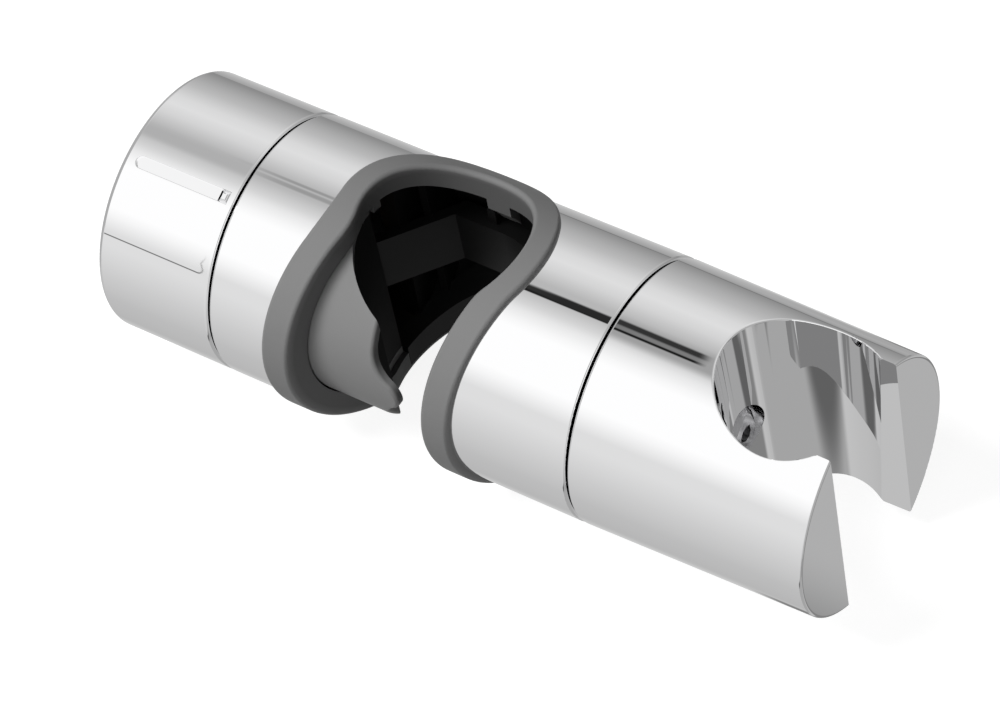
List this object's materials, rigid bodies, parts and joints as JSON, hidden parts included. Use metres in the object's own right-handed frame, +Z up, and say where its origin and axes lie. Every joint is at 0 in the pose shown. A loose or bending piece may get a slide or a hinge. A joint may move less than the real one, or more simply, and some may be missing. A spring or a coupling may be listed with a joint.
{
  "type": "shower rail slider bracket",
  "caption": "Chrome barrel that clamps on a shower riser rail with a turning end knob and carries a handset in a swivelling conical socket.",
  "frame": {"origin": "where the barrel's axis crosses the rail's axis, in the middle of the rail slot", "axes": "+X along the barrel from the clamp knob to the handset holder, +Z up along the rail, -Y towards the open front of the rail slot"},
  "size_m": [0.12, 0.042, 0.043],
  "materials": {
    "chrome_shell": "mirror chrome plate",
    "grey_trim": "fine matte",
    "grey_jaw": "fine matte",
    "black_moulding": "matte",
    "black_rubber": "matte",
    "brass": "turned",
    "white_plastic": "smooth",
    "steel": "satin"
  },
  "bodies": {
    "slider": {"sleeve": "chrome_shell", "slot_trim": "grey_trim", "inner_frame": "black_moulding", "rail_pad": "black_rubber", "pivot_screw": "steel", "pivot_bush": "steel", "pivot_washer": "steel", "disc_spring": "steel", "friction_ring": "white_plastic", "pivot_nut": "brass", "o_ring": "black_rubber"},
    "knob": {"clamp_knob": "chrome_shell", "knob_core": "black_moulding", "knob_washer": "white_plastic", "retaining_clip": "steel"},
    "jaw": {"clamp_jaw": "grey_jaw", "jaw_seat": "black_moulding", "clamp_screw": "brass"},
    "holder": {"handset_holder": "chrome_shell"}
  },
  "joints": [
    {"name": "knob_turn", "type": "hinge", "parent": "slider", "child": "knob", "pos_m": [-0.04, 0, 0], "axis": [1, 0, 0], "range_deg": [-30, 135]},
    {"name": "jaw_slide", "type": "slide", "parent": "slider", "child": "jaw", "axis": [1, 0, 0], "range_m": [-0.001, 0.0045]},
    {"name": "holder_swivel", "type": "hinge", "parent": "slider", "child": "holder", "pos_m": [0.05, 0, 0], "axis": [1, 0, 0], "continuous": true}
  ],
  "couplings": [
    {"joint": "jaw_slide", "follows": "knob_turn", "m_per_rad": 0.0019099}
  ]
}
